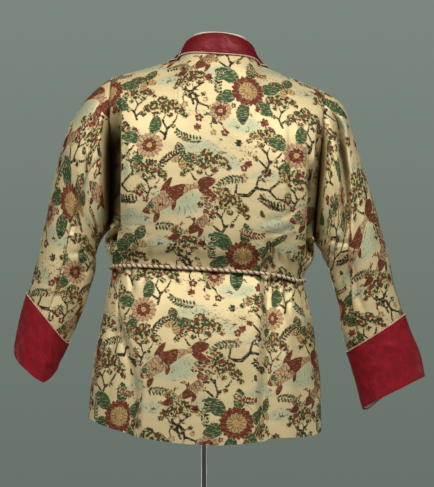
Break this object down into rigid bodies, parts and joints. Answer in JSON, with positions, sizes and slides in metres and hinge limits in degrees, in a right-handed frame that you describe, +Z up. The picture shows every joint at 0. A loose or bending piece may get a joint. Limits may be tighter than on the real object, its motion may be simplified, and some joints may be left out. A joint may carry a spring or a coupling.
{
  "type": "belted brocade jacket on a dress form",
  "caption": "Loose brocade lounging jacket with a satin shawl collar, turn-back cuffs and a tie cord, shown worn by a limbless dress form on a pole stand.",
  "frame": {"origin": "middle of the stand's underside, on the floor", "axes": "+Z up along the pole, the jacket's front towards -Y, the wearer's left towards +X"},
  "size_m": [0.8316, 0.4, 1.4977],
  "materials": {
    "brocade": "figured satin-ground brocade in gold, rust, green and turquoise",
    "red_satin": "dark red damask satin",
    "twisted_cord": "two-colour twisted rayon cord",
    "form_jersey": "plain jersey over a moulded form",
    "stand_metal": "polished steel"
  },
  "bodies": {
    "root": {"back": "brocade", "front_left": "brocade", "front_right": "brocade", "sleeve_left": "brocade", "sleeve_right": "brocade", "cuff_left": "red_satin", "cuff_right": "red_satin", "collar": "red_satin", "collar_cord": "twisted_cord", "cuff_cord_left": "twisted_cord", "cuff_cord_right": "twisted_cord", "waist_cord": "twisted_cord", "waist_knot": "twisted_cord", "cord_end_left": "twisted_cord", "cord_end_right": "twisted_cord", "form_torso": "form_jersey", "stand_pole": "stand_metal", "stand_base": "stand_metal"}
  },
  "joints": []
}
